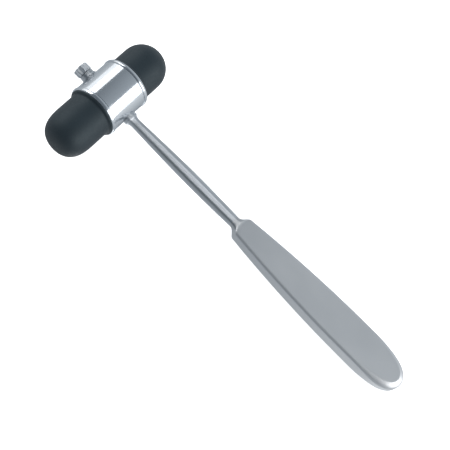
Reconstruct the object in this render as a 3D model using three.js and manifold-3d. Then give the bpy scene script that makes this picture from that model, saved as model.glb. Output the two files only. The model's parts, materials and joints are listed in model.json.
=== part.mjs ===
// A reflex hammer: a barrel with a rubber bumper at each end, on a slim shaft with a flat grip, and a needle
// that screws into the top of the barrel and is kept inside the hollow shaft.
//
// The pieces are drawn with the barrel's axis along X, the shaft's axis along Y (the knob at +Y, the grip at
// -Y) and the grip's flat faces towards +Z and -Z. At the end the hammer is laid on the plane Z = 0, where it
// rests on the barrel's two end rims and on the far end of the grip. Lengths are in millimetres.

import * as THREE from "three";
import { mergeVertices } from "three/addons/utils/BufferGeometryUtils.js";
import Module from "manifold-3d";

const wasm = await Module();
wasm.setup();

// ---- driving dimensions -------------------------------------------------------------------------

const GAP = 0.3; // room between neighbouring pieces

// Barrel and its end rims
const BARREL_RADIUS = 13;
const BARREL_BORE_RADIUS = 10.5;
const BARREL_SHOULDER = 9.85; // half length of the full-diameter part
const BARREL_CHAMFER = 0.3;
const SADDLE_DEPTH = 2; // how far a piece that stands on the barrel reaches into it before it is cut to fit
const SPIGOT_RADIUS = 11.6; // the barrel's ends are stepped down to carry the rims
const RIM_END = 11.85; // distance from the shaft's axis to the rim's outer face
const RIM_CREST_RADIUS = 13.35;
const RIM_BEAD = 0.45; // how far the rim's outside is rounded down from its crest

// Rubber bumpers, with dome outlines (s / length)^n + (r / radius)^n = 1
const BUMPER_RADIUS = 11.5;
const LIP_RADIUS = 12.6;
const LIP_WIDTH = 0.5;
const PLUG_RADIUS = BARREL_BORE_RADIUS - GAP;
const LONG_BUMPER = { side: -1, tip: 36.9, dome: 14.4, power: 2.8 };
const SHORT_BUMPER = { side: 1, tip: 33.95, dome: 11.4, power: 2.06 };

// Core and threads
const CORE_HALF_LENGTH = 8;
const STUD_HOLE_FLOOR = 4; // how near the studs' holes come to the core's centre
const NECK_HOLE_FLOOR = 5; // how near the shaft's and the socket's holes come to it
const NECK_THREAD_RADIUS = 2.5; // the shaft's upper thread and the needle socket's thread
const TENON_RADIUS = 2; // the shaft's lower thread, in the grip

// Bumper studs, along the barrel's axis
const STUD_RADIUS = 2;
const STUD_FLANGE_RADIUS = 5;
const STUD_FLANGE = { from: 17, to: 18.5 };
const STUD_END = 22;

// Needle, its socket and its knob, along Y
const NEEDLE_RADIUS = 0.6;
const NEEDLE_BORE_RADIUS = NEEDLE_RADIUS + GAP;
const NEEDLE_TIP = -36;
const NEEDLE_POINT = 5; // length of the point
const NEEDLE_TOP = 12;
const SOCKET_RADIUS = 3.5;
const SOCKET_FOOT_RADIUS = 4.2;
const SOCKET_TOP = 15.3;
const STEM_RADIUS = 1.6; // the knob's threaded stem
const STEM_END = 8.5;
const KNOB_RADIUS = 3.85;
const KNOB_TOP = 19.6;
const KNOB_ROUNDING = 0.6;
const KNOB_FLUTES = 8;
const FLUTE_DEPTH = 0.6;
const FLUTE_CREST = THREE.MathUtils.degToRad(-12); // where the first crest is, from the upper face towards +X

// Shaft, along Y
const COLLAR_RADIUS = 3.5;
const COLLAR_BOTTOM = -14.5;
const NECK_Y = -17.8;
const NECK_RADIUS = 2.42;
const SWELL_Y = -52.7;
const SWELL_RADIUS = 3.36;
const SHAFT_END = -81;
const SHAFT_END_RADIUS = 2.95;
const TENON_END = -98;

// Grip, along Y
const GRIP_TOP = -84; // where the flat faces begin
const GRIP_SHOULDER = -88.5; // where the turned shoulder ends
const GRIP_SHOULDER_RADIUS = 7.1;
const GRIP_TOP_WIDTH = 5.85; // half widths
const GRIP_WIDTH = 9.45;
const GRIP_WIDEST = -155;
const GRIP_ROUND_START = -165.5;
const GRIP_END = -190;
const GRIP_END_POWER = 3.6; // the end's outline is (x / width)^2 + (y / length)^power = 1
const GRIP_HALF_THICKNESS = 3.58; // at the top of the faces
const GRIP_TAPER = 0.0122; // gain in half thickness for each millimetre towards the end
const GRIP_EDGE = 1.3; // rounding of the grip's long edges

const ROUND_SIDES = 40; // facets round a large piece
const SMALL_SIDES = 20; // facets round a small one

// ---- materials ----------------------------------------------------------------------------------

const metal = (color, roughness) => new THREE.MeshStandardMaterial({ color, roughness, metalness: 1 });

const polishedSteel = metal(0xc9ced3, 0.12);
const barrelSteel = metal(0xc3c8cd, 0.2);
const satinSteel = metal(0xa9aeb4, 0.42);
const innerBrass = metal(0xb59a57, 0.4);
const bumperRubber = new THREE.MeshStandardMaterial({ color: 0x2b343b, roughness: 0.75, metalness: 0 });

// ---- helpers ------------------------------------------------------------------------------------

// A solid of revolution about Y. The outline is (radius, height) pairs, anticlockwise: up on the outside.
function turned(outline, sides = SMALL_SIDES) {
  const points = outline.map(([radius, height]) => new THREE.Vector2(radius, height));
  return new THREE.LatheGeometry(points, sides);
}

// Points of an elliptical arc in the (radius, height) half plane, from one angle to another in degrees.
function arc(centreRadius, centreHeight, radialReach, axialReach, from, to, steps) {
  return Array.from({ length: steps + 1 }, (_, i) => {
    const angle = THREE.MathUtils.degToRad(from + ((to - from) * i) / steps);
    return [centreRadius + radialReach * Math.cos(angle), centreHeight + axialReach * Math.sin(angle)];
  });
}

// A plain round bar along Y, used as a cutting tool or joined to another piece.
function bar(radius, from, to, sides = SMALL_SIDES) {
  return turned([[0, from], [radius, from], [radius, to], [0, to]], sides);
}

// Converts a geometry to a solid that can be cut and joined, and back.
function toSolid(geometry) {
  const bare = geometry.clone();
  bare.deleteAttribute("normal");
  bare.deleteAttribute("uv");
  const merged = mergeVertices(bare, 1e-4);
  const vertProperties = merged.attributes.position.array;
  const triVerts = new Uint32Array(merged.index.array);
  return new wasm.Manifold(new wasm.Mesh({ numProp: 3, vertProperties, triVerts }));
}

function toGeometry(solid) {
  const { vertProperties, triVerts } = solid.getMesh();
  const geometry = new THREE.BufferGeometry();
  geometry.setAttribute("position", new THREE.BufferAttribute(vertProperties, 3));
  geometry.setIndex(new THREE.BufferAttribute(triVerts, 1));
  geometry.computeVertexNormals();
  return geometry;
}

// Turns a geometry made along Y so that it lies along the barrel's axis, reaching out on the given side.
function alongBarrel(geometry, side = 1) {
  return geometry.rotateZ((-side * Math.PI) / 2);
}

function part(name, geometry, material) {
  const mesh = new THREE.Mesh(geometry, material);
  mesh.name = name;
  return mesh;
}

// The barrel's outside with room round it: it cuts the saddle of each piece that stands on the barrel.
const barrelEnvelope = () =>
  toSolid(alongBarrel(bar(BARREL_RADIUS + GAP, -2 * BARREL_RADIUS, 2 * BARREL_RADIUS, ROUND_SIDES)));

// ---- head ---------------------------------------------------------------------------------------

// A tube with a stepped spigot at each end and a hole top and bottom for the two neck threads.
function headBarrel() {
  const spigotEnd = RIM_END - GAP;
  const outerHalf = [
    [BARREL_RADIUS, BARREL_SHOULDER - BARREL_CHAMFER],
    [BARREL_RADIUS - BARREL_CHAMFER, BARREL_SHOULDER],
    [SPIGOT_RADIUS, BARREL_SHOULDER],
    [SPIGOT_RADIUS, spigotEnd],
    [BARREL_BORE_RADIUS, spigotEnd],
  ];
  const lowerHalf = outerHalf.map(([radius, height]) => [radius, -height]).reverse();
  const closed = [...lowerHalf, ...outerHalf, lowerHalf[0]];
  const tube = toSolid(alongBarrel(turned(closed, ROUND_SIDES)));
  const neckHoles = toSolid(bar(NECK_THREAD_RADIUS + GAP, -2 * BARREL_RADIUS, 2 * BARREL_RADIUS));
  return part("head_barrel", toGeometry(tube.subtract(neckHoles)), barrelSteel);
}

// A ring pressed onto the spigot. Its outside is a rounded bead that stands a little proud of the barrel.
function endRim(name, side) {
  const start = BARREL_SHOULDER + GAP;
  const middle = (start + RIM_END) / 2;
  const halfWidth = (RIM_END - start) / 2;
  const bead = arc(RIM_CREST_RADIUS - RIM_BEAD, middle, RIM_BEAD, halfWidth, -90, 90, 6);
  const inside = [[SPIGOT_RADIUS + GAP, RIM_END], [SPIGOT_RADIUS + GAP, start]];
  const ring = turned([...bead, ...inside, bead[0]], ROUND_SIDES);
  return part(name, alongBarrel(ring, side), barrelSteel);
}

// A block inside the barrel. Both bumpers' studs, the shaft and the needle socket screw into it.
function headCore() {
  const studHole = (side) => alongBarrel(bar(STUD_RADIUS + GAP, STUD_HOLE_FLOOR, BARREL_RADIUS), side);
  const neckHole = (from, to) => bar(NECK_THREAD_RADIUS + GAP, from, to);
  const cutters = [
    studHole(-1),
    studHole(1),
    neckHole(-BARREL_RADIUS, -NECK_HOLE_FLOOR),
    neckHole(NECK_HOLE_FLOOR, BARREL_RADIUS),
    bar(NEEDLE_BORE_RADIUS, -BARREL_RADIUS, BARREL_RADIUS),
  ];
  const block = toSolid(alongBarrel(bar(PLUG_RADIUS, -CORE_HALF_LENGTH, CORE_HALF_LENGTH, ROUND_SIDES)));
  const core = cutters.reduce((solid, cutter) => solid.subtract(toSolid(cutter)), block);
  return part("head_core", toGeometry(core), innerBrass);
}

// The stud that is moulded into a bumper: its flange holds it in the rubber.
function bumperStud(name, side) {
  const start = STUD_HOLE_FLOOR + GAP;
  const outline = [
    [0, start],
    [STUD_RADIUS, start],
    [STUD_RADIUS, STUD_FLANGE.from],
    [STUD_FLANGE_RADIUS, STUD_FLANGE.from],
    [STUD_FLANGE_RADIUS, STUD_FLANGE.to],
    [STUD_RADIUS, STUD_FLANGE.to],
    [STUD_RADIUS, STUD_END],
    [0, STUD_END],
  ];
  return part(name, alongBarrel(turned(outline), side), innerBrass);
}

// A bumper: a plug in the barrel, a thin lip against the rim, a round body and a dome.
function bumper(name, { side, tip, dome, power }) {
  const plugStart = CORE_HALF_LENGTH + GAP;
  const lipStart = RIM_END + GAP;
  const studHole = STUD_RADIUS + GAP;
  const flangeHole = STUD_FLANGE_RADIUS + GAP;
  const cavity = [
    [0, STUD_END + GAP],
    [studHole, STUD_END + GAP],
    [studHole, STUD_FLANGE.to + GAP],
    [flangeHole, STUD_FLANGE.to + GAP],
    [flangeHole, STUD_FLANGE.from - GAP],
    [studHole, STUD_FLANGE.from - GAP],
    [studHole, plugStart],
  ];
  const plugAndLip = [
    [PLUG_RADIUS, plugStart],
    [PLUG_RADIUS, lipStart],
    [LIP_RADIUS, lipStart],
    [LIP_RADIUS, lipStart + LIP_WIDTH],
    [BUMPER_RADIUS, lipStart + LIP_WIDTH],
  ];
  const domeSteps = 9;
  const domeOutline = Array.from({ length: domeSteps + 1 }, (_, i) => {
    const angle = ((i / domeSteps) * Math.PI) / 2;
    const radius = BUMPER_RADIUS * Math.cos(angle) ** (2 / power);
    const height = tip - dome + dome * Math.sin(angle) ** (2 / power);
    return [i === domeSteps ? 0 : radius, height];
  });
  const solid = turned([...cavity, ...plugAndLip, ...domeOutline], ROUND_SIDES);
  return part(name, alongBarrel(solid, side), bumperRubber);
}

// ---- needle -------------------------------------------------------------------------------------

// The neck that the knob screws into: a foot shaped to the barrel, and a thread that reaches into the core.
function needleSocket() {
  const threadEnd = NECK_HOLE_FLOOR + GAP;
  const footBottom = BARREL_RADIUS - SADDLE_DEPTH;
  const footTop = BARREL_RADIUS + 0.2;
  const waist = SOCKET_TOP - 1;
  const foot = turned([
    [0, footBottom],
    [SOCKET_FOOT_RADIUS, footBottom],
    [SOCKET_FOOT_RADIUS, footTop],
    ...arc(SOCKET_FOOT_RADIUS, waist, SOCKET_FOOT_RADIUS - SOCKET_RADIUS, waist - footTop, 270, 180, 4),
    [SOCKET_RADIUS, SOCKET_TOP],
    [0, SOCKET_TOP],
  ], ROUND_SIDES);
  const socket = toSolid(foot)
    .subtract(barrelEnvelope())
    .add(toSolid(bar(NECK_THREAD_RADIUS, threadEnd, waist)))
    .subtract(toSolid(bar(STEM_RADIUS + GAP, STEM_END - GAP, SOCKET_TOP + 1)))
    .subtract(toSolid(bar(NEEDLE_BORE_RADIUS, 0, SOCKET_TOP)));
  return part("needle_socket", toGeometry(socket), polishedSteel);
}

// The knob that is turned by hand. Its stem screws into the socket and holds the needle's upper end.
function needleKnob() {
  const knobBottom = SOCKET_TOP + GAP;
  const cornerRadius = KNOB_RADIUS - KNOB_ROUNDING;
  const holeTop = NEEDLE_TOP + GAP;
  const outline = [
    [0, holeTop],
    [NEEDLE_BORE_RADIUS, holeTop],
    [NEEDLE_BORE_RADIUS, STEM_END],
    [STEM_RADIUS, STEM_END],
    [STEM_RADIUS, knobBottom],
    ...arc(cornerRadius, knobBottom + KNOB_ROUNDING / 2, KNOB_ROUNDING, KNOB_ROUNDING / 2, -90, 0, 2),
    ...arc(cornerRadius, KNOB_TOP - KNOB_ROUNDING, KNOB_ROUNDING, KNOB_ROUNDING, 0, 90, 4),
    [0, KNOB_TOP],
  ];
  const facetsPerFlute = 8;
  const knob = turned(outline, KNOB_FLUTES * facetsPerFlute);
  const positions = knob.attributes.position;
  for (let i = 0; i < positions.count; i++) {
    const [x, z] = [positions.getX(i), positions.getZ(i)];
    const radius = Math.hypot(x, z);
    const depth = FLUTE_DEPTH * Math.max(0, (radius - STEM_RADIUS) / (KNOB_RADIUS - STEM_RADIUS));
    const flute = (1 - Math.cos(KNOB_FLUTES * (Math.atan2(x, z) - FLUTE_CREST))) / 2;
    const scale = radius > 0 ? (radius - depth * flute) / radius : 1;
    positions.setX(i, x * scale);
    positions.setZ(i, z * scale);
  }
  knob.computeVertexNormals();
  return part("needle_knob", knob, polishedSteel);
}

function needle() {
  const outline = [
    [0, NEEDLE_TIP],
    [NEEDLE_RADIUS, NEEDLE_TIP + NEEDLE_POINT],
    [NEEDLE_RADIUS, NEEDLE_TOP],
    [0, NEEDLE_TOP],
  ];
  return part("needle", turned(outline, 16), polishedSteel);
}

// ---- shaft --------------------------------------------------------------------------------------

// The swelling stretch between the grip and the neck, as points on a smooth curve.
function shaftSwell() {
  const curve = new THREE.SplineCurve([
    new THREE.Vector2(SHAFT_END_RADIUS, SHAFT_END),
    new THREE.Vector2(3.24, -67),
    new THREE.Vector2(SWELL_RADIUS, SWELL_Y),
    new THREE.Vector2(3.1, -38.7),
    new THREE.Vector2(2.73, -26),
    new THREE.Vector2(NECK_RADIUS, NECK_Y),
  ]);
  return curve.getPoints(12).map(({ x, y }) => [x, y]);
}

function shaft() {
  const threadTop = -NECK_HOLE_FLOOR - GAP;
  const boreBottom = NEEDLE_TIP - 1;
  const body = toSolid(turned([
    [0, TENON_END],
    [TENON_RADIUS, TENON_END],
    [TENON_RADIUS, SHAFT_END],
    ...shaftSwell(),
    ...arc(COLLAR_RADIUS, NECK_Y, COLLAR_RADIUS - NECK_RADIUS, COLLAR_BOTTOM - NECK_Y, 180, 90, 5).slice(1),
    [COLLAR_RADIUS, -BARREL_RADIUS + SADDLE_DEPTH],
    [0, -BARREL_RADIUS + SADDLE_DEPTH],
  ], ROUND_SIDES));
  const whole = body
    .subtract(barrelEnvelope())
    .add(toSolid(bar(NECK_THREAD_RADIUS, COLLAR_BOTTOM, threadTop)))
    .subtract(toSolid(bar(NEEDLE_BORE_RADIUS, boreBottom, 0)));
  return part("shaft", toGeometry(whole), polishedSteel);
}

// ---- grip ---------------------------------------------------------------------------------------

const gripHalfThickness = (y) => GRIP_HALF_THICKNESS + GRIP_TAPER * (GRIP_TOP - y);

// The flat bar's outline: sides that open out to the widest place, and a blunt round end. The top is cut off
// later.
function barOutline() {
  const shape = new THREE.Shape();
  const barTop = SHAFT_END + 2 * GRIP_EDGE;
  const middle = (GRIP_WIDEST + GRIP_SHOULDER) / 2;
  shape.moveTo(GRIP_WIDTH, GRIP_ROUND_START);
  shape.lineTo(GRIP_WIDTH, GRIP_WIDEST);
  shape.quadraticCurveTo(GRIP_WIDTH, middle, GRIP_TOP_WIDTH, GRIP_SHOULDER);
  shape.lineTo(GRIP_TOP_WIDTH, barTop);
  shape.lineTo(-GRIP_TOP_WIDTH, barTop);
  shape.lineTo(-GRIP_TOP_WIDTH, GRIP_SHOULDER);
  shape.quadraticCurveTo(-GRIP_WIDTH, middle, -GRIP_WIDTH, GRIP_WIDEST);
  shape.lineTo(-GRIP_WIDTH, GRIP_ROUND_START);
  const endLength = GRIP_ROUND_START - GRIP_END;
  const endSteps = 28;
  for (let i = 1; i < endSteps; i++) {
    const angle = (i / endSteps) * Math.PI;
    const along = Math.sin(angle) ** (2 / GRIP_END_POWER);
    shape.lineTo(-GRIP_WIDTH * Math.cos(angle), GRIP_ROUND_START - endLength * along);
  }
  return shape;
}

// The bar with its long edges rounded. It grows thicker towards the end.
function flatBar() {
  const fullHalfThickness = gripHalfThickness(GRIP_END);
  const depth = 2 * (fullHalfThickness - GRIP_EDGE);
  const flat = new THREE.ExtrudeGeometry(barOutline(), {
    depth,
    curveSegments: 14,
    bevelThickness: GRIP_EDGE,
    bevelSize: GRIP_EDGE,
    bevelOffset: -GRIP_EDGE,
    bevelSegments: 3,
  });
  flat.translate(0, 0, -depth / 2);
  const positions = flat.attributes.position;
  for (let i = 0; i < positions.count; i++) {
    const taper = gripHalfThickness(positions.getY(i)) / fullHalfThickness;
    positions.setZ(i, positions.getZ(i) * taper);
  }
  return flat;
}

// The round limit that the bar's top is turned down to: a slim neck that flares out to the bar's corners.
function turnedShoulder() {
  const flare = new THREE.SplineCurve([
    new THREE.Vector2(GRIP_SHOULDER_RADIUS, GRIP_SHOULDER),
    new THREE.Vector2(6.6, -87),
    new THREE.Vector2(5.65, -85.8),
    new THREE.Vector2(4.6, -84.8),
    new THREE.Vector2(3.65, -83.9),
    new THREE.Vector2(3.12, -82.9),
    new THREE.Vector2(SHAFT_END_RADIUS, SHAFT_END - GAP),
  ]);
  const wideRadius = 2 * GRIP_WIDTH;
  return turned([
    [0, GRIP_END - 1],
    [wideRadius, GRIP_END - 1],
    [wideRadius, GRIP_SHOULDER - wideRadius],
    ...flare.getPoints(12).map(({ x, y }) => [x, y]),
    [0, SHAFT_END - GAP],
  ], ROUND_SIDES);
}

function handle() {
  const grip = toSolid(flatBar())
    .intersect(toSolid(turnedShoulder()))
    .subtract(toSolid(bar(TENON_RADIUS + GAP, TENON_END - GAP, SHAFT_END + 1)));
  return part("handle", toGeometry(grip), satinSteel);
}

// ---- assembly -----------------------------------------------------------------------------------

const grip = handle();
const hammer = new THREE.Group();
hammer.add(
  headBarrel(),
  headCore(),
  endRim("long_end_rim", LONG_BUMPER.side),
  endRim("short_end_rim", SHORT_BUMPER.side),
  bumper("long_bumper", LONG_BUMPER),
  bumper("short_bumper", SHORT_BUMPER),
  bumperStud("long_bumper_stud", LONG_BUMPER.side),
  bumperStud("short_bumper_stud", SHORT_BUMPER.side),
  needleSocket(),
  needleKnob(),
  needle(),
  shaft(),
  grip,
);

// The slope at which the grip's end meets the plane that the rims stand on.
function restingSlope(geometry) {
  const point = new THREE.Vector3();
  let slope = Infinity;
  for (let i = 0; i < geometry.attributes.position.count; i++) {
    point.fromBufferAttribute(geometry.attributes.position, i);
    if (point.z >= 0) continue;
    const reach = Math.hypot(point.y, point.z);
    const below = Math.atan2(-point.z, -point.y);
    slope = Math.min(slope, Math.asin(RIM_CREST_RADIUS / reach) - below);
  }
  return slope;
}

hammer.rotation.x = restingSlope(grip.geometry);

// The part's origin is the centre of the hammer's footprint.
const footprint = new THREE.Box3().setFromObject(hammer, true);
const centre = footprint.getCenter(new THREE.Vector3());
hammer.position.set(-centre.x, -centre.y, -footprint.min.z);

const group = new THREE.Group();
group.add(hammer);

export default group;
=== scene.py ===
"""The looks of a reflex hammer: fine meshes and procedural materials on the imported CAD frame.

Pieces are drawn in millimetres in the hammer's own axes: the origin at the centre of the head,
X along the barrel towards the shorter bumper, Y along the shaft towards the needle knob, and
Z out of the grip's upper face.
"""

import json
import math

import bmesh
import bpy
from mathutils import Matrix, Vector


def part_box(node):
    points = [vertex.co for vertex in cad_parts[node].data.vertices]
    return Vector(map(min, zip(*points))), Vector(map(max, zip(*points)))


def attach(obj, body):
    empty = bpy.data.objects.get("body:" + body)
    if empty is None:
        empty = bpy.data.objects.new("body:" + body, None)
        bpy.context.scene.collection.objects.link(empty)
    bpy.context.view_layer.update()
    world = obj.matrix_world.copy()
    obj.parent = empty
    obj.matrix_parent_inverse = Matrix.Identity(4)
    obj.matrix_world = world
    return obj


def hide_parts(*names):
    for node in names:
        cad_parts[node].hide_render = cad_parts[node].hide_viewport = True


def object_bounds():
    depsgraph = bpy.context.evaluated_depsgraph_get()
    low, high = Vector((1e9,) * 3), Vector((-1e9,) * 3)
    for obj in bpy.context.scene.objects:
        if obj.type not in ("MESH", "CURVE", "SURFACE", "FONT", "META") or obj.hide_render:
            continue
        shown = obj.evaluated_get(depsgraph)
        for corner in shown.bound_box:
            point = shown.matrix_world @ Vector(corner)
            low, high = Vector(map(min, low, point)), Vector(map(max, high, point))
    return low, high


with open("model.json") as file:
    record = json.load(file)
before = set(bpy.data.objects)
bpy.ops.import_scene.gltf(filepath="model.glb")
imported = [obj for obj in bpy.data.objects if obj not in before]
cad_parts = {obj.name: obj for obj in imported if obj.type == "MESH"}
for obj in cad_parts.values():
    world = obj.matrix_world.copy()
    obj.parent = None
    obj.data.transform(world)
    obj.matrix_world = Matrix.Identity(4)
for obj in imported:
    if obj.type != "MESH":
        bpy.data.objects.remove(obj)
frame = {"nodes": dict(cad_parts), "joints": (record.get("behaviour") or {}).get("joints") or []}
CAD_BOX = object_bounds()

# ---- the hammer's own axes -----------------------------------------------------------------------

SHAFT_AXIS = Vector(frame["joints"][0]["axis"]).normalized()
BARREL_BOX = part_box("head_barrel")
HEAD_CENTRE = (BARREL_BOX[0] + BARREL_BOX[1]) / 2
LYING_SLOPE = math.atan2(SHAFT_AXIS.z, SHAFT_AXIS.y)
PLACE = Matrix.Translation(HEAD_CENTRE) @ Matrix.Rotation(LYING_SLOPE, 4, "X")
MILLIMETRE = 0.001
TO_METRES = Matrix.Scale(MILLIMETRE, 4)
TO_HAMMER = (PLACE @ TO_METRES).inverted()


def extent(node):
    """Lowest and highest corner of a CAD node in the hammer's own axes, in millimetres."""
    points = [TO_HAMMER @ vertex.co for vertex in frame["nodes"][node].data.vertices]
    low = Vector([min(point[i] for point in points) for i in range(3)])
    high = Vector([max(point[i] for point in points) for i in range(3)])
    return low, high


# ---- dimensions ----------------------------------------------------------------------------------

GAP = 0.3  # round threads, plugs and other pieces that fit into one another
TOUCH = 0.03  # what is left of a gap between two pieces that are screwed tight

_, BARREL = extent("head_barrel")
BARREL_RADIUS = BARREL.z
BARREL_BORE_RADIUS = 10.5
BARREL_SHOULDER = 9.98  # half length of the full-diameter part
GROOVE_WIDTH = 0.5  # reach along the barrel of the groove beside each rim
GROOVE_DEPTH = 0.25
SPIGOT_RADIUS = 11.6
SPIGOT_ROUNDING = 0.15
HEAD_SIDES = 256  # sides of the barrel's and the rims' circles
SADDLE_LEVEL = BARREL_RADIUS - 2  # where a foot is drawn before it is shaped to the barrel

_, RIM_HIGH = extent("short_end_rim")
RIM_START = BARREL_SHOULDER + TOUCH
RIM_CREST = 0.55  # how far the rim's crest is from the groove
RIM_INNER_DROP = 0.35
RIM_OUTER_DROP = 0.6

LIP_RADIUS = 12.7
LIP_THICKNESS = 0.6
LIP_DRAFT = 0.05  # how much smaller the lip is at its outer edge
LIP_ROUNDING = 0.42
COVE_END = 1.25  # how far from the rim the cove under the lip meets the bumper's side
COVE_ROUNDING = 0.6
BUMPER_RADIUS = 11.5
PLUG_RADIUS = BARREL_BORE_RADIUS - GAP
PLUG_ROUNDING = 0.4
BUMPER_SHAPES = {"long_bumper": (-1, 14.4, 2.8), "short_bumper": (1, 11.4, 2.06)}  # side, dome, power

_, STUD_HIGH = extent("short_bumper_stud")
STUD_RADIUS = 2
STUD_FLANGE = (17, 18.5)  # where the flange begins and ends

SOCKET_LOW, SOCKET_HIGH = extent("needle_socket")
SOCKET_RADIUS = 3.5
SOCKET_FOOT_RISE = 0.2  # height of the foot's edge over the barrel's crest
SOCKET_WALL = 1  # height of the straight wall above the cove
SOCKET_ROUNDING = 0.18
MOUTH_ROUNDING = 0.12
NECK_THREAD_RADIUS = 2.5
THREAD_END_ROUNDING = 0.3
KNOB_LOW, KNOB_HIGH = extent("needle_knob")
KNOB_ROUNDING = 0.6
KNOB_FLUTES = 8
FLUTE_DEPTH = 0.6
FLUTE_CREST = math.radians(-12)  # where the first crest is, from the upper face towards +X
STEM_RADIUS = 1.6
THREAD_PITCH = 0.5
THREAD_DEPTH = 0.22
THREAD_RUNOUT = 0.3  # the plain stretch between the thread and the knob
STEM_RELIEF = 0.05  # how far below the knob's underside the stem ends
RINGS_PER_TURN = 7  # rings of vertices in one turn of the thread
NEEDLE_LOW, NEEDLE_HIGH = extent("needle")
NEEDLE_RADIUS = NEEDLE_HIGH.x
NEEDLE_BORE_RADIUS = NEEDLE_RADIUS + GAP
NEEDLE_POINT = 5  # length of the tapered point
NEEDLE_CLEARANCE = 1  # free space below the point

SHAFT_LOW, SHAFT_HIGH = extent("shaft")
COLLAR_RADIUS = SHAFT_HIGH.x
COLLAR_BOTTOM = -14.5
NECK_Y = -17.8
NECK_RADIUS = 2.42
SHAFT_SWELL = [(3.24, -67), (3.36, -52.7), (3.1, -38.7), (2.73, -26)]  # radius, place
TENON_RADIUS = 2
TENON_ROUNDING = 0.4

GRIP_LOW, GRIP_HIGH = extent("handle")
SHAFT_END_RADIUS = 2.95
GRIP_TOP = -84  # where the flat faces begin
GRIP_SHOULDER = -88.5
GRIP_TOP_WIDTH = 5.9  # half width at the shoulder
GRIP_TAPER_POWER = 1.85
GRIP_WIDEST = -155
GRIP_ROUND_START = -165.5
GRIP_END_POWER = 3.6  # the end's outline is (x / half width)^2 + (y / length)^power = 1
END_LENGTH = GRIP_ROUND_START - GRIP_LOW.y
GRIP_TOP_THICKNESS = 3.58  # half thickness at the top of the faces
GRIP_EDGE = 1.3  # rounding of the long edges
GRIP_END_EDGE = 3.5  # rounding of the edge at the far end
GRIP_EDGE_GROWTH = 18  # length over which the rounding grows from the one to the other
GRIP_EDGE_SPREAD = 1.35  # how many times wider than deep the rounding is
GRIP_ARRIS = math.sin(math.radians(20))  # the rounding meets the flat face at 20 degrees
ARRIS_BAND = 0.12  # narrow strip beside the arris that keeps the face's shading flat
LEAST_FACE = 0.35  # smallest share of the half width that the face's points spread over
FLARE_START = -83.23  # where the turned neck begins to flare
FLARE_SLOPE = 1.2
FLARE_BLEND = 0.45  # length over which the neck passes into the flare
SHOULDER_BEVEL = 0.9
NECK_POLISH = (-85.6, -84.3)  # the neck's polish fades out between these places

# ---- mesh building -------------------------------------------------------------------------------

NO_RADIUS = 1e-6  # a ring smaller than this is one point on the axis
SAME_LEVEL = 1e-4
SHARP_ANGLE = math.radians(40)  # edges that turn more than this are shaded as sharp


def arc(centre_radius, centre_height, radial_reach, axial_reach, start, end, steps):
    """Points of an elliptical arc in the (radius, height) plane. The angles are in degrees."""
    points = []
    for i in range(steps + 1):
        angle = math.radians(start + (end - start) * i / steps)
        radius = centre_radius + radial_reach * math.cos(angle)
        points.append((radius, centre_height + axial_reach * math.sin(angle)))
    return points


def softened(corners, steps=4):
    """An outline with rounded corners. A corner is (radius, height) or (radius, height, rounding)."""
    outline = []
    for i, (radius, height, *rounding) in enumerate(corners):
        corner = Vector((radius, height))
        if not rounding:
            outline.append(corner)
            continue
        before = Vector(corners[i - 1][:2]) - corner
        after = Vector(corners[(i + 1) % len(corners)][:2]) - corner
        start = corner + before.normalized() * rounding[0]
        end = corner + after.normalized() * rounding[0]
        for k in range(steps + 1):
            t = k / steps
            outline.append(start * (1 - t) ** 2 + corner * (2 * t * (1 - t)) + end * t**2)
    return outline


def smooth_line(knots, steps):
    """Points of a curve through the knots, evenly spread over its stretches."""
    points = []
    last = len(knots) - 1
    for i in range(steps + 1):
        place = last * i / steps
        index = min(int(place), last - 1)
        t = place - index
        a, b, c, d = (Vector(knots[min(max(index + k, 0), last)]) for k in (-1, 0, 1, 2))
        tangent_b, tangent_c = (c - a) / 2, (d - b) / 2
        cubic = (b - c) * 2 + tangent_b + tangent_c
        square = (c - b) * 3 - tangent_b * 2 - tangent_c
        points.append(cubic * t**3 + square * t**2 + tangent_b * t + b)
    return points


def skin(mesh, rings, closed=False):
    """Joins rings of vertices into a surface. A ring of one vertex is a pole."""
    pairs = list(zip(rings, rings[1:]))
    if closed:
        pairs.append((rings[-1], rings[0]))
    for lower, upper in pairs:
        for k in range(max(len(lower), len(upper))):
            corners = []
            for vertex in (
                lower[k % len(lower)],
                lower[(k + 1) % len(lower)],
                upper[(k + 1) % len(upper)],
                upper[k % len(upper)],
            ):
                if vertex not in corners:
                    corners.append(vertex)
            if len(corners) > 2:
                mesh.faces.new(corners)


def circle(mesh, radius, height, angles):
    """A ring of new vertices round Y at the given angles from Z towards X."""
    places = [(radius * math.sin(angle), height, radius * math.cos(angle)) for angle in angles]
    return [mesh.verts.new(place) for place in places]


def turned(outline, sides=192, closed=False):
    """A body of revolution about Y from (radius, height) points."""
    mesh = bmesh.new()
    rings = []
    angles = [2 * math.pi * k / sides for k in range(sides)]
    for radius, height in outline:
        if radius < NO_RADIUS:
            rings.append([mesh.verts.new((0, height, 0))])
        else:
            rings.append(circle(mesh, radius, height, angles))
    skin(mesh, rings, closed)
    return mesh


def along_barrel(mesh, side=1):
    """Turns a mesh made along Y so that it lies along the barrel, reaching out on the given side."""
    mesh.transform(Matrix.Rotation(-side * math.pi / 2, 4, "Z"))
    return mesh


def set_on_barrel(mesh, side):
    """Drops the vertices drawn at the saddle's level onto the barrel's surface, above it or below it."""
    reach = BARREL_RADIUS + TOUCH
    for vertex in mesh.verts:
        if abs(vertex.co.y - side * SADDLE_LEVEL) < SAME_LEVEL:
            vertex.co.y = side * math.sqrt(reach**2 - vertex.co.z**2)
    return mesh


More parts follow.
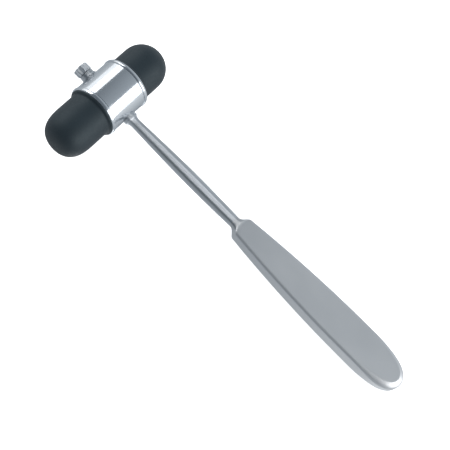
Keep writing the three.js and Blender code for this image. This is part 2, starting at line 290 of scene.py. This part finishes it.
def make_object(name, mesh):
    """Turns a mesh in millimetres into an object in metres, placed as the hammer lies."""
    mesh.transform(PLACE @ TO_METRES)
    bmesh.ops.recalc_face_normals(mesh, faces=mesh.faces)
    data = bpy.data.meshes.new(name)
    mesh.to_mesh(data)
    mesh.free()
    data.shade_smooth()
    data.set_sharp_from_angle(angle=SHARP_ANGLE)
    made = bpy.data.objects.new(name, data)
    bpy.context.scene.collection.objects.link(made)
    return made


def cut(made, tool_mesh):
    """Cuts a tool's shape out of an object."""
    tool = make_object("tool", tool_mesh)
    boolean = made.modifiers.new("cut", "BOOLEAN")
    boolean.object = tool
    boolean.solver = "EXACT"
    bpy.context.view_layer.update()
    result = bpy.data.meshes.new_from_object(made.evaluated_get(bpy.context.evaluated_depsgraph_get()))
    made.modifiers.clear()
    made.data = result
    bpy.data.objects.remove(tool)


def add_piece(name, made, material, body="hammer"):
    """Puts a finished object in a CAD node's place. The piece is named after the node it stands for."""
    made.name = name + "_fine"
    made.data.materials.clear()
    made.data.materials.append(material)
    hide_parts(name)
    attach(made, body)


# ---- head ----------------------------------------------------------------------------------------


def head_barrel():
    """A tube with a spigot for a rim at each end, and a hole across it for the shaft and the socket."""
    end = BARREL.x
    edge = BARREL_SHOULDER - GROOVE_WIDTH
    upper_edge = arc(BARREL_RADIUS - GROOVE_DEPTH, edge, GROOVE_DEPTH, GROOVE_WIDTH, 0, 90, steps=12)
    lower_edge = [(radius, -height) for radius, height in reversed(upper_edge)]
    outline = softened([
        (BARREL_BORE_RADIUS, -end, SPIGOT_ROUNDING),
        (SPIGOT_RADIUS, -end, SPIGOT_ROUNDING),
        (SPIGOT_RADIUS, -BARREL_SHOULDER),
        *lower_edge,
        *upper_edge,
        (SPIGOT_RADIUS, BARREL_SHOULDER),
        (SPIGOT_RADIUS, end, SPIGOT_ROUNDING),
        (BARREL_BORE_RADIUS, end, SPIGOT_ROUNDING),
    ])
    made = make_object("barrel", along_barrel(turned(outline, sides=HEAD_SIDES, closed=True)))
    hole = NECK_THREAD_RADIUS + GAP
    length = 2 * BARREL_RADIUS
    cut(made, turned([(0, -length), (hole, -length), (hole, length), (0, length)], sides=64))
    return made


def end_rim(side):
    """A ring that rises steeply from the groove to a crest and rolls down to the bumper's lip."""
    crest = RIM_START + RIM_CREST
    rise = arc(RIM_HIGH.z - RIM_INNER_DROP, crest, RIM_INNER_DROP, RIM_CREST, -90, 0, steps=8)
    roll_centre = RIM_HIGH.z - RIM_OUTER_DROP
    roll = arc(roll_centre, crest, RIM_OUTER_DROP, RIM_HIGH.x - crest, 0, 90, steps=14)
    inner = SPIGOT_RADIUS + GAP
    outline = [*rise, *roll[1:], (inner, RIM_HIGH.x), (inner, RIM_START)]
    return make_object("rim", along_barrel(turned(outline, sides=HEAD_SIDES, closed=True), side))


def bumper(node):
    """A rubber plug with a lip that covers the rim's end, and a dome that is a superellipse."""
    side, dome, power = BUMPER_SHAPES[node]
    low, high = extent(node)
    tip = max(side * low.x, side * high.x)
    plug_start = min(side * low.x, side * high.x)
    lip_start = RIM_HIGH.x + TOUCH
    stud_hole = STUD_RADIUS + GAP
    flange_hole = STUD_HIGH.z + GAP
    cavity = [
        (0, STUD_HIGH.x + GAP),
        (stud_hole, STUD_HIGH.x + GAP),
        (stud_hole, STUD_FLANGE[1] + GAP),
        (flange_hole, STUD_FLANGE[1] + GAP),
        (flange_hole, STUD_FLANGE[0] - GAP),
        (stud_hole, STUD_FLANGE[0] - GAP),
        (stud_hole, plug_start, PLUG_ROUNDING / 2),
    ]
    plug_and_lip = [
        (PLUG_RADIUS, plug_start, PLUG_ROUNDING),
        (PLUG_RADIUS, lip_start),
        (LIP_RADIUS, lip_start, LIP_THICKNESS / 10),
        (LIP_RADIUS - LIP_DRAFT, lip_start + LIP_THICKNESS, LIP_ROUNDING),
        (BUMPER_RADIUS, lip_start + COVE_END, COVE_ROUNDING),
        (BUMPER_RADIUS, tip - dome),
    ]
    steps = 40
    dome_outline = []
    for i in range(1, steps):
        angle = math.pi / 2 * i / steps
        radius = BUMPER_RADIUS * math.cos(angle) ** (2 / power)
        dome_outline.append((radius, tip - dome + dome * math.sin(angle) ** (2 / power)))
    outline = softened([*cavity, *plug_and_lip, *dome_outline, (0, tip)])
    return make_object("bumper", along_barrel(turned(outline), side))


# ---- needle --------------------------------------------------------------------------------------


def needle_socket():
    """A short neck whose foot is shaped to the barrel, with a thread below it."""
    foot_radius = SOCKET_HIGH.x
    top = SOCKET_HIGH.y
    foot_top = BARREL_RADIUS + SOCKET_FOOT_RISE
    waist = top - SOCKET_WALL
    flare = foot_radius - SOCKET_RADIUS
    cove = arc(foot_radius, waist, flare, waist - foot_top, 270, 180, steps=8)
    outline = softened([
        (NEEDLE_BORE_RADIUS, SOCKET_LOW.y),
        (NECK_THREAD_RADIUS, SOCKET_LOW.y, THREAD_END_ROUNDING),
        (NECK_THREAD_RADIUS, SADDLE_LEVEL),
        (foot_radius, SADDLE_LEVEL),
        *cove,
        (SOCKET_RADIUS, top, SOCKET_ROUNDING),
        (STEM_RADIUS + GAP, top, MOUTH_ROUNDING),
        (STEM_RADIUS + GAP, KNOB_LOW.y - GAP),
        (NEEDLE_BORE_RADIUS, KNOB_LOW.y - GAP),
    ])
    return make_object("socket", set_on_barrel(turned(outline, closed=True), 1))


def needle_knob():
    """The fluted knob, with a helical thread on its stem."""
    radius = KNOB_HIGH.z / math.cos(FLUTE_CREST)
    top = KNOB_HIGH.y
    bottom = SOCKET_HIGH.y + GAP
    stem_end = KNOB_LOW.y
    hole_top = NEEDLE_HIGH.y + GAP
    corner = radius - KNOB_ROUNDING
    thread_end = bottom - THREAD_RUNOUT
    thread_length = thread_end - stem_end
    thread_rings = int(thread_length / THREAD_PITCH * RINGS_PER_TURN)
    stem = [(STEM_RADIUS, stem_end + thread_length * i / thread_rings) for i in range(thread_rings)]
    inner, outer = radius * 0.6, radius * 0.75  # rings between which the flutes fade into the end faces
    mesh = turned([
        (0, hole_top),
        (NEEDLE_BORE_RADIUS, hole_top),
        (NEEDLE_BORE_RADIUS, stem_end),
        *stem,
        (STEM_RADIUS, bottom - STEM_RELIEF),
        (inner, bottom),
        (outer, bottom),
        *arc(corner, bottom + KNOB_ROUNDING / 2, KNOB_ROUNDING, KNOB_ROUNDING / 2, -90, 0, steps=5),
        *arc(corner, top - KNOB_ROUNDING, KNOB_ROUNDING, KNOB_ROUNDING, 0, 90, steps=8),
        (inner, top),
        (0, top),
    ], sides=200)
    past = 0.01  # a vertex has to be this far outside a radius to belong to what is outside it
    for vertex in mesh.verts:
        x, y, z = vertex.co
        reach = math.hypot(x, z)
        turn = math.atan2(x, z)
        if reach > STEM_RADIUS + past:
            depth = FLUTE_DEPTH * (reach - STEM_RADIUS) / (radius - STEM_RADIUS)
            cut_in = depth * (1 - math.cos(KNOB_FLUTES * (turn - FLUTE_CREST))) / 2
        elif reach > NEEDLE_BORE_RADIUS + past and stem_end < y < thread_end:
            phase = y / THREAD_PITCH - turn / (2 * math.pi)
            cut_in = THREAD_DEPTH * (1 + math.cos(2 * math.pi * phase)) / 2
        else:
            continue
        vertex.co.x *= 1 - cut_in / reach
        vertex.co.z *= 1 - cut_in / reach
    return make_object("knob", mesh)


def needle():
    """A thin round rod with a slim, slightly bulging point."""
    tip = NEEDLE_LOW.y
    knots = [(0.05, tip + 0.15), (0.4, tip + NEEDLE_POINT / 2), (NEEDLE_RADIUS, tip + NEEDLE_POINT)]
    outline = [
        (0, tip),
        *smooth_line(knots, steps=12),
        (NEEDLE_RADIUS, NEEDLE_HIGH.y),
        (0, NEEDLE_HIGH.y),
    ]
    return make_object("needle", turned(outline, sides=48))


# ---- shaft ---------------------------------------------------------------------------------------


def shaft():
    """A rod that swells in the middle and flares into a collar, with a screwed end on each side."""
    end = GRIP_HIGH.y + TOUCH
    swell = smooth_line([(SHAFT_END_RADIUS, end), *SHAFT_SWELL, (NECK_RADIUS, NECK_Y)], steps=60)
    flare = COLLAR_RADIUS - NECK_RADIUS
    cove = arc(COLLAR_RADIUS, NECK_Y, flare, COLLAR_BOTTOM - NECK_Y, 180, 90, steps=14)
    bore_end = NEEDLE_LOW.y - NEEDLE_CLEARANCE
    outline = softened([
        (0, SHAFT_LOW.y),
        (TENON_RADIUS, SHAFT_LOW.y, TENON_ROUNDING),
        (TENON_RADIUS, end),
        *swell,
        *cove[1:],
        (COLLAR_RADIUS, -SADDLE_LEVEL),
        (NECK_THREAD_RADIUS, -SADDLE_LEVEL),
        (NECK_THREAD_RADIUS, SHAFT_HIGH.y, THREAD_END_ROUNDING),
        (NEEDLE_BORE_RADIUS, SHAFT_HIGH.y),
        (NEEDLE_BORE_RADIUS, bore_end),
        (0, bore_end),
    ])
    return make_object("shaft", set_on_barrel(turned(outline), -1))


# ---- grip ----------------------------------------------------------------------------------------


def grip_half_thickness(y):
    """Half thickness of the flat bar, which grows evenly from the top of the faces to the far end."""
    share = (GRIP_TOP - y) / (GRIP_TOP - GRIP_LOW.y)
    return GRIP_TOP_THICKNESS + (GRIP_HIGH.z - GRIP_TOP_THICKNESS) * share


def grip_half_width(y):
    """Half width of the flat bar, which opens out from the shoulder and closes in a round end."""
    widest = GRIP_HIGH.x
    if y > GRIP_WIDEST:
        share = (GRIP_WIDEST - y) / (GRIP_WIDEST - GRIP_SHOULDER)
        return widest - (widest - GRIP_TOP_WIDTH) * min(1, share) ** GRIP_TAPER_POWER
    if y > GRIP_ROUND_START:
        return widest
    share = min(1, (GRIP_ROUND_START - y) / END_LENGTH)
    return widest * math.sqrt(1 - share**GRIP_END_POWER)


def depth_inside(x, y):
    """How far a place on the flat face is from the bar's outline, seen from above."""
    if y > GRIP_ROUND_START:
        return grip_half_width(y) - abs(x)
    half_width, power = GRIP_HIGH.x, GRIP_END_POWER
    across = abs(x) / half_width
    along = (GRIP_ROUND_START - y) / END_LENGTH
    level = max(across, along)  # the scale at which the end's outline passes through this place
    at_centre = 0.001
    if level < at_centre:
        return half_width
    for _ in range(8):
        square, high_power = (across / level) ** 2, (along / level) ** power
        steepness = 2 * square + power * high_power
        level *= 1 + (square + high_power - 1) / steepness
    slope_across = 2 * across / level / half_width
    slope_along = power * (along / level) ** (power - 1) / END_LENGTH
    return max(0, 1 - level) * steepness / math.hypot(slope_across, slope_along)


def edge_rounding(y):
    """The rounding of the bar's edge, which grows in the last stretch before the end."""
    share = min(1, max(0, (GRIP_ROUND_START - y) / GRIP_EDGE_GROWTH))
    return GRIP_EDGE + (GRIP_END_EDGE - GRIP_EDGE) * share**2 * (3 - 2 * share)


def turned_limit(y):
    """The radius that the bar is turned down to at a height: a round neck that passes into a cone."""
    past = (FLARE_START - y) / FLARE_BLEND
    straight = 30  # past this the logarithm is the same as its argument
    rise = past if past > straight else math.log1p(math.exp(past))
    return SHAFT_END_RADIUS + FLARE_SLOPE * FLARE_BLEND * rise


def face_half_width(y, spread):
    """How far the flat face reaches to each side before the rounding of the edge begins."""
    near, far = LEAST_FACE * grip_half_width(y), grip_half_width(y)
    edge = spread * (1 - GRIP_ARRIS)
    for _ in range(20):
        middle = (near + far) / 2
        if depth_inside(middle, y) > edge:
            near = middle
        else:
            far = middle
    return near


def grip_section(y, limit):
    """One cross section of the grip as points, clockwise from the upper left edge."""
    width = grip_half_width(y)
    thickness = grip_half_thickness(y)
    rounding = edge_rounding(y)
    spread = rounding * GRIP_EDGE_SPREAD
    flat = face_half_width(y, spread)
    face_steps, edge_steps, side_steps = 24, 12, 12
    face = [(flat - ARRIS_BAND) * (2 * i / face_steps - 1) for i in range(face_steps + 1)]
    edge_angles = [math.pi / 2 * i / edge_steps for i in range(edge_steps + 1)]
    right_edge = [flat + (width - flat) * math.sin(angle) for angle in edge_angles]
    left_edge = [-x for x in reversed(right_edge)]
    full_height = math.sqrt(1 - GRIP_ARRIS**2)
    upper = []
    for x in left_edge + face + right_edge:
        drop = 1 - min(1 - GRIP_ARRIS, depth_inside(x, y) / spread)
        upper.append((x, thickness - rounding * (full_height - math.sqrt(1 - drop**2))))
    side_height = upper[-1][1]
    right = [(width, side_height * (1 - 2 * i / side_steps)) for i in range(1, side_steps)]
    half = upper + right
    section = []
    for x, z in half + [(-x, -z) for x, z in half]:
        reach = math.hypot(x, z)
        kept = (reach + limit - math.sqrt((reach - limit) ** 2 + SHOULDER_BEVEL**2)) / 2
        section.append((x * kept / reach, y, z * kept / reach))
    return section


def handle():
    """A flat bar whose top is turned down to a round neck, made as a skin over cross sections."""
    fine_step = 0.12
    neck_rings, blade_rings, end_rings = 110, 60, 70
    neck_and_shoulder = [GRIP_HIGH.y - fine_step * i for i in range(neck_rings)]
    blade_top = neck_and_shoulder[-1]
    blade_step = (GRIP_ROUND_START - blade_top) / blade_rings
    blade = [blade_top + blade_step * i for i in range(1, blade_rings)]
    end_angles = [math.pi / 2 * i / end_rings for i in range(end_rings)]
    round_end = [GRIP_ROUND_START - END_LENGTH * math.sin(angle) for angle in end_angles]
    mesh = bmesh.new()
    rings = []
    for y in neck_and_shoulder + blade + round_end:
        rings.append([mesh.verts.new(point) for point in grip_section(y, turned_limit(y))])
    bore = TENON_RADIUS + GAP
    angles = [math.atan2(vertex.co.x, vertex.co.z) for vertex in rings[len(neck_and_shoulder)]]
    bore_end = SHAFT_LOW.y - GAP
    for y in (GRIP_HIGH.y, bore_end):
        rings.insert(0, circle(mesh, bore, y, angles))
    rings.insert(0, [mesh.verts.new((0, bore_end, 0))])
    rings.append([mesh.verts.new((0, GRIP_LOW.y, 0))])
    skin(mesh, rings)
    return make_object("handle", mesh)


# ---- materials -----------------------------------------------------------------------------------

ALONG_BARREL = (1, 0, 0)
ALONG_SHAFT = (0, 1, 0)


def add_node(tree, kind, inputs=None, **settings):
    """A shader node with its settings and with values or links on its inputs."""
    node = tree.nodes.new(kind)
    for name, value in settings.items():
        setattr(node, name, value)
    for name, value in (inputs or {}).items():
        if isinstance(value, bpy.types.NodeSocket):
            tree.links.new(value, node.inputs[name])
        else:
            node.inputs[name].default_value = value
    return node


def new_material(name):
    """A material with only its output, and a place in the hammer's own axes, in metres."""
    material = bpy.data.materials.new(name)
    material.use_nodes = True
    tree = material.node_tree
    tree.nodes.clear()
    output = add_node(tree, "ShaderNodeOutputMaterial")
    place = add_node(tree, "ShaderNodeMapping", {
        "Vector": add_node(tree, "ShaderNodeTexCoord").outputs["Object"],
        "Location": HEAD_CENTRE,
        "Rotation": (LYING_SLOPE, 0, 0),
    }, vector_type="TEXTURE")
    return material, tree, output, place.outputs["Vector"]


def noise(tree, place, scale, stretch=(1, 1, 1), detail=3.0):
    """Noise whose grains are about 1 / scale metres, stretched along some axes."""
    mapped = add_node(tree, "ShaderNodeMapping", {"Vector": place, "Scale": stretch})
    settings = {"Vector": mapped.outputs["Vector"], "Scale": scale, "Detail": detail}
    return add_node(tree, "ShaderNodeTexNoise", settings).outputs["Fac"]


def remap(tree, value, low, high, start=0.3, end=0.7):
    """Spreads a noise value, which lies mostly between start and end, over low to high."""
    settings = {"Value": value, "From Min": start, "From Max": end, "To Min": low, "To Max": high}
    return add_node(tree, "ShaderNodeMapRange", settings).outputs["Result"]


def blend_colours(tree, share, first, second):
    """The first colour where the share is 0, passing into the second where it is 1."""
    settings = {"Factor": share, "A": (*first, 1), "B": (*second, 1)}
    mixed = add_node(tree, "ShaderNodeMix", data_type="RGBA")
    for name, value in settings.items():
        sockets = [s for s in mixed.inputs if s.name == name and s.enabled]
        if isinstance(value, bpy.types.NodeSocket):
            tree.links.new(value, sockets[0])
        else:
            sockets[0].default_value = value
    return next(s for s in mixed.outputs if s.enabled)


def bump(tree, height, strength, distance):
    """A normal that follows a height map. The distance is the height of its hills in metres."""
    settings = {"Height": height, "Strength": strength, "Distance": distance}
    return add_node(tree, "ShaderNodeBump", settings).outputs["Normal"]


def tangent_along(tree, axis):
    """The direction of one of the hammer's axes, along which turned steel blurs its reflections."""
    lengthwise = Matrix.Rotation(LYING_SLOPE, 3, "X") @ Vector(axis)
    spaces = {"convert_from": "OBJECT", "convert_to": "WORLD"}
    turned_with_piece = add_node(tree, "ShaderNodeVectorTransform", {"Vector": lengthwise}, **spaces)
    return turned_with_piece.outputs["Vector"]


def turned_steel(name, axis, roughness, anisotropy, tint=(0.74, 0.77, 0.80)):
    """Polished steel with turning marks round an axis, faint smudges and a few hairline scratches."""
    material, tree, output, place = new_material(name)
    around = [2 if part else 0.15 for part in axis]
    smudges = noise(tree, place, 90, detail=4)
    marks = noise(tree, place, 900, around, detail=2)
    scratches = noise(tree, place, 500, (1, 0.06, 1), detail=6)
    shade = blend_colours(tree, smudges, [c * 0.96 for c in tint], tint)
    rough = remap(tree, smudges, roughness * 0.9, roughness * 1.15)
    relief = add_node(tree, "ShaderNodeMath", {0: marks, 1: scratches}, operation="ADD").outputs[0]
    surface = add_node(tree, "ShaderNodeBsdfPrincipled", {
        "Base Color": shade,
        "Metallic": 1.0,
        "Roughness": rough,
        "Anisotropic": anisotropy,
        "Tangent": tangent_along(tree, axis),
        "Normal": bump(tree, relief, 0.06, 0.00002),
    })
    tree.links.new(surface.outputs[0], output.inputs["Surface"])
    return material


def satin_steel():
    """Bead-blasted grip steel, polished where the neck was turned, with faint stains and brushing."""
    material, tree, output, place = new_material("satin_steel_fine")
    stains = noise(tree, place, 60, (1, 0.5, 1), detail=5)
    grain = noise(tree, place, 5000, detail=2)
    brushing = noise(tree, place, 1500, (1, 0.03, 1), detail=3)
    along = add_node(tree, "ShaderNodeSeparateXYZ", {"Vector": place}).outputs["Y"]
    fade_start, fade_end = (height * MILLIMETRE for height in NECK_POLISH)
    neck = remap(tree, along, 0, 1, start=fade_start, end=fade_end)
    shade = blend_colours(tree, stains, (0.715, 0.725, 0.737), (0.755, 0.762, 0.768))
    blasted = remap(tree, stains, 0.46, 0.54)
    polished = remap(tree, stains, 0.42, 0.5)
    rough = add_node(tree, "ShaderNodeMix", data_type="FLOAT")
    for index, value in ((0, neck), (2, blasted), (3, polished)):
        tree.links.new(value, rough.inputs[index])
    relief = add_node(tree, "ShaderNodeMath", {0: grain, 1: brushing}, operation="ADD").outputs[0]
    surface = add_node(tree, "ShaderNodeBsdfPrincipled", {
        "Base Color": shade,
        "Metallic": 1.0,
        "Roughness": rough.outputs[0],
        "Anisotropic": neck,
        "Tangent": tangent_along(tree, ALONG_SHAFT),
        "Normal": bump(tree, relief, 0.12, 0.00003),
    })
    tree.links.new(surface.outputs[0], output.inputs["Surface"])
    return material


def bumper_rubber():
    """Matt moulded rubber: a fine even grain, slight cloudiness and a dusty sheen."""
    material, tree, output, place = new_material("bumper_rubber_fine")
    clouds = noise(tree, place, 120, detail=4)
    grain = noise(tree, place, 4500, detail=3)
    dimples = noise(tree, place, 1400, detail=2)
    shade = blend_colours(tree, clouds, (0.0052, 0.0105, 0.0148), (0.0072, 0.0132, 0.018))
    relief = add_node(tree, "ShaderNodeMath", {0: grain, 1: dimples}, operation="ADD").outputs[0]
    surface = add_node(tree, "ShaderNodeBsdfPrincipled", {
        "Base Color": shade,
        "Roughness": remap(tree, dimples, 0.5, 0.62),
        "Specular IOR Level": 0.46,
        "Specular Tint": (0.84, 0.96, 1, 1),
        "Sheen Weight": 0.03,
        "Sheen Roughness": 0.5,
        "Normal": bump(tree, relief, 0.25, 0.00004),
    })
    tree.links.new(surface.outputs[0], output.inputs["Surface"])
    return material


def machined_brass():
    """Brass turned on a lathe, slightly tarnished. It is only seen when the head is taken apart."""
    material, tree, output, place = new_material("inner_brass_fine")
    tarnish = noise(tree, place, 200, detail=5)
    marks = noise(tree, place, 1200, (4, 0.5, 0.5), detail=2)
    surface = add_node(tree, "ShaderNodeBsdfPrincipled", {
        "Base Color": blend_colours(tree, tarnish, (0.36, 0.23, 0.07), (0.62, 0.45, 0.17)),
        "Metallic": 1.0,
        "Roughness": remap(tree, tarnish, 0.25, 0.45),
        "Normal": bump(tree, marks, 0.2, 0.00003),
    })
    tree.links.new(surface.outputs[0], output.inputs["Surface"])
    return material


def floor_paper():
    """Plain white paper that glows a little, so that it hardly holds a shadow."""
    material, tree, output, place = new_material("floor_paper")
    fibres = noise(tree, place, 400, detail=3)
    shade = blend_colours(tree, fibres, (0.88, 0.88, 0.88), (0.9, 0.9, 0.9))
    surface = add_node(tree, "ShaderNodeBsdfPrincipled", {
        "Base Color": shade,
        "Roughness": 0.9,
        "Specular IOR Level": 0.1,
        "Emission Color": (1, 1, 1, 1),
        "Emission Strength": 0.7,
    })
    tree.links.new(surface.outputs[0], output.inputs["Surface"])
    return material


# ---- studio --------------------------------------------------------------------------------------


def make_floor():
    """A wide sheet of paper under the hammer, which polished steel doesn't mirror."""
    mesh = bmesh.new()
    bmesh.ops.create_grid(mesh, x_segments=8, y_segments=8, size=4)
    data = bpy.data.meshes.new("floor")
    mesh.to_mesh(data)
    mesh.free()
    floor = bpy.data.objects.new("floor", data)
    floor.data.materials.append(floor_paper())
    floor.visible_glossy = False
    bpy.context.scene.collection.objects.link(floor)


def facing(tree, direction, towards):
    """How far a direction of view points towards a given side of the room."""
    inputs = {0: direction, 1: towards}
    return add_node(tree, "ShaderNodeVectorMath", inputs, operation="DOT_PRODUCT").outputs["Value"]


def make_room_light():
    """A bluish-grey room above the table's level, and a pale floor below it for reflections."""
    world = bpy.data.worlds.new("room")
    world.use_nodes = True
    tree = world.node_tree
    tree.nodes.clear()
    direction = add_node(tree, "ShaderNodeTexCoord").outputs["Generated"]
    upward = add_node(tree, "ShaderNodeSeparateXYZ", {"Vector": direction}).outputs["Z"]
    across = remap(tree, facing(tree, direction, (1, -0.35, 0)), 0, 1, start=0.08, end=0.95)
    walls = blend_colours(tree, across, (0.145, 0.17, 0.195), (0.50, 0.55, 0.595))
    outward = remap(tree, facing(tree, direction, (0.35, -0.228, 1)), 0, 1, start=-0.5, end=0.4)
    table = blend_colours(tree, outward, (0.42, 0.455, 0.49), (0.78, 0.81, 0.84))
    above_table = remap(tree, upward, 0, 1, start=-0.05, end=0.05)
    room = add_node(tree, "ShaderNodeMix", data_type="RGBA")
    sockets = {socket.name: socket for socket in room.inputs if socket.enabled}
    tree.links.new(above_table, sockets["Factor"])
    tree.links.new(table, sockets["A"])
    tree.links.new(walls, sockets["B"])
    colour = next(socket for socket in room.outputs if socket.enabled)
    background = add_node(tree, "ShaderNodeBackground", {"Color": colour, "Strength": 1.0})
    output = add_node(tree, "ShaderNodeOutputWorld")
    tree.links.new(background.outputs[0], output.inputs["Surface"])
    bpy.context.scene.world = world


def softbox(name, direction, distance, width, height, radiance):
    """A rectangular soft light that faces the hammer."""
    light = bpy.data.lights.new(name, "AREA")
    light.shape = "RECTANGLE"
    light.size = width
    light.size_y = height
    light.energy = radiance * math.pi * width * height
    lamp = bpy.data.objects.new(name, light)
    bpy.context.scene.collection.objects.link(lamp)
    away = Vector(direction).normalized()
    lamp.location = HEAD_CENTRE + away * distance
    lamp.rotation_euler = away.to_track_quat("Z", "Y").to_euler()


def overhead_light():
    """Soft light from above for the floor and the rubber. Polished steel doesn't mirror it."""
    light = bpy.data.lights.new("overhead", "SUN")
    light.energy = 2.6
    light.angle = math.radians(120)  # a sun this wide casts only the softest shadows
    lamp = bpy.data.objects.new("overhead", light)
    lamp.visible_glossy = False
    lamp.rotation_euler = (math.radians(-12), math.radians(10), 0)
    bpy.context.scene.collection.objects.link(lamp)


def make_camera():
    """A camera above the grip's face, turned so that the hammer lies from upper left to lower right."""
    bearing = math.radians(85.9)
    elevation = math.radians(64.03)
    roll = math.radians(-40.133)
    beside_middle = Vector((-0.00477, 0.00522, 0))
    aim = (CAD_BOX[0] + CAD_BOX[1]) / 2 + beside_middle
    distance = 0.5834
    level = Vector((math.sin(bearing), math.cos(bearing), 0))
    forward = level * math.cos(elevation) - Vector((0, 0, math.sin(elevation)))
    upright = (Vector((0, 0, 1)) - forward * forward.z).normalized()
    up = Matrix.Rotation(roll, 3, forward) @ upright
    right = forward.cross(up)
    camera = bpy.data.cameras.new("camera")
    camera.lens = 101.48
    holder = bpy.data.objects.new("camera", camera)
    axes = Matrix((right, up, -forward)).transposed()
    holder.matrix_world = Matrix.Translation(aim - forward * distance) @ axes.to_4x4()
    bpy.context.scene.collection.objects.link(holder)
    bpy.context.scene.camera = holder


# ---- assembly ------------------------------------------------------------------------------------

bpy.context.scene.view_settings.view_transform = "Standard"

round_steel = turned_steel("polished_steel_fine", ALONG_SHAFT, roughness=0.45, anisotropy=1.0)
barrel_steel = turned_steel("barrel_steel_fine", ALONG_BARREL, roughness=0.18, anisotropy=0.4)
knob_steel = turned_steel("knob_steel_fine", ALONG_SHAFT, 0.4, 0.9, tint=(0.86, 0.88, 0.9))
rubber = bumper_rubber()

add_piece("handle", handle(), satin_steel())
add_piece("shaft", shaft(), round_steel)
add_piece("head_barrel", head_barrel(), barrel_steel)
add_piece("long_end_rim", end_rim(-1), barrel_steel)
add_piece("short_end_rim", end_rim(1), barrel_steel)
add_piece("long_bumper", bumper("long_bumper"), rubber)
add_piece("short_bumper", bumper("short_bumper"), rubber)
add_piece("needle_socket", needle_socket(), round_steel)
add_piece("needle_knob", needle_knob(), knob_steel, body="needle_knob")
add_piece("needle", needle(), round_steel, body="needle")

brass = machined_brass()
for node in ("head_core", "long_bumper_stud", "short_bumper_stud"):
    frame["nodes"][node].data.materials.clear()
    frame["nodes"][node].data.materials.append(brass)

make_floor()
make_room_light()
softbox("far_window", (0.15, 0.95, 0.64), distance=2, width=1.8, height=0.85, radiance=2.5)
softbox("far_window_sill", (0.2, 0.95, 0.18), distance=2, width=2.1, height=0.75, radiance=1)
softbox("near_window", (0.06, -0.95, 0.42), distance=2, width=2.3, height=1.55, radiance=3)
softbox("bounce_card", (-0.12, -0.42, -0.9), distance=1, width=0.5, height=0.5, radiance=1.3)
overhead_light()
make_camera()
